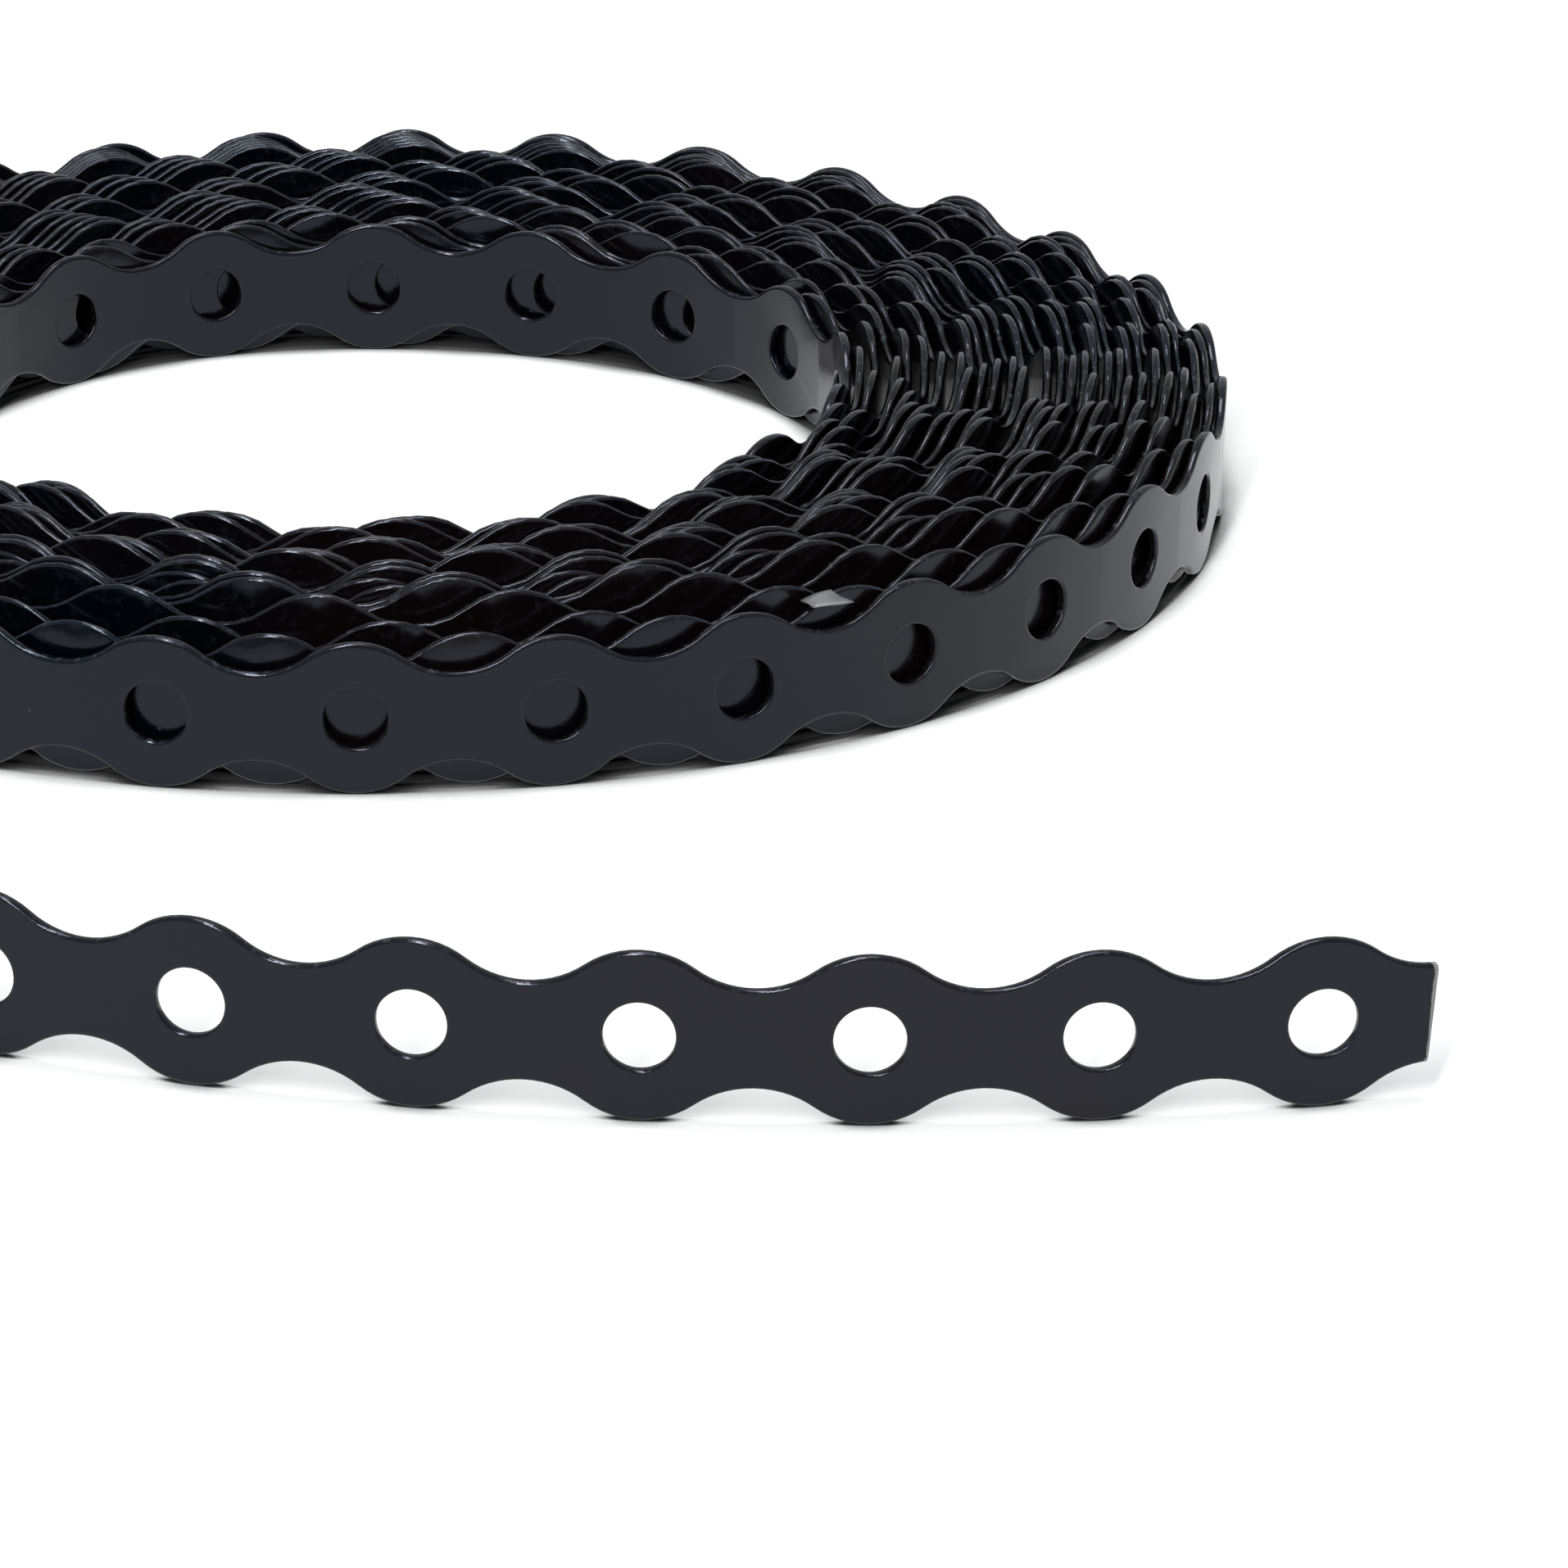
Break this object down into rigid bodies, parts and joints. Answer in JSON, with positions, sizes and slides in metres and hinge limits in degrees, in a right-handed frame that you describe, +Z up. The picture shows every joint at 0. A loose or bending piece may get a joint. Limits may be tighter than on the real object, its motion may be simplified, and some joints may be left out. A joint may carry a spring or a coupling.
{
  "type": "perforated steel strap",
  "caption": "Flat coil of thin black-coated steel strap with scalloped edges and a round hole in each bulge, its outer end sprung loose, cut off and screwed on to hang pipes or hold parts.",
  "frame": {"origin": "on the floor, under the middle of the overall outline", "axes": "+Z up through the eye of the coil, -Y towards the side where the loose end stands, +X towards its cut end"},
  "size_m": [0.1658, 0.2026, 0.012],
  "materials": {
    "coating": "smooth black coating, glossy"
  },
  "bodies": {
    "root": {"strap": "coating"}
  },
  "joints": []
}
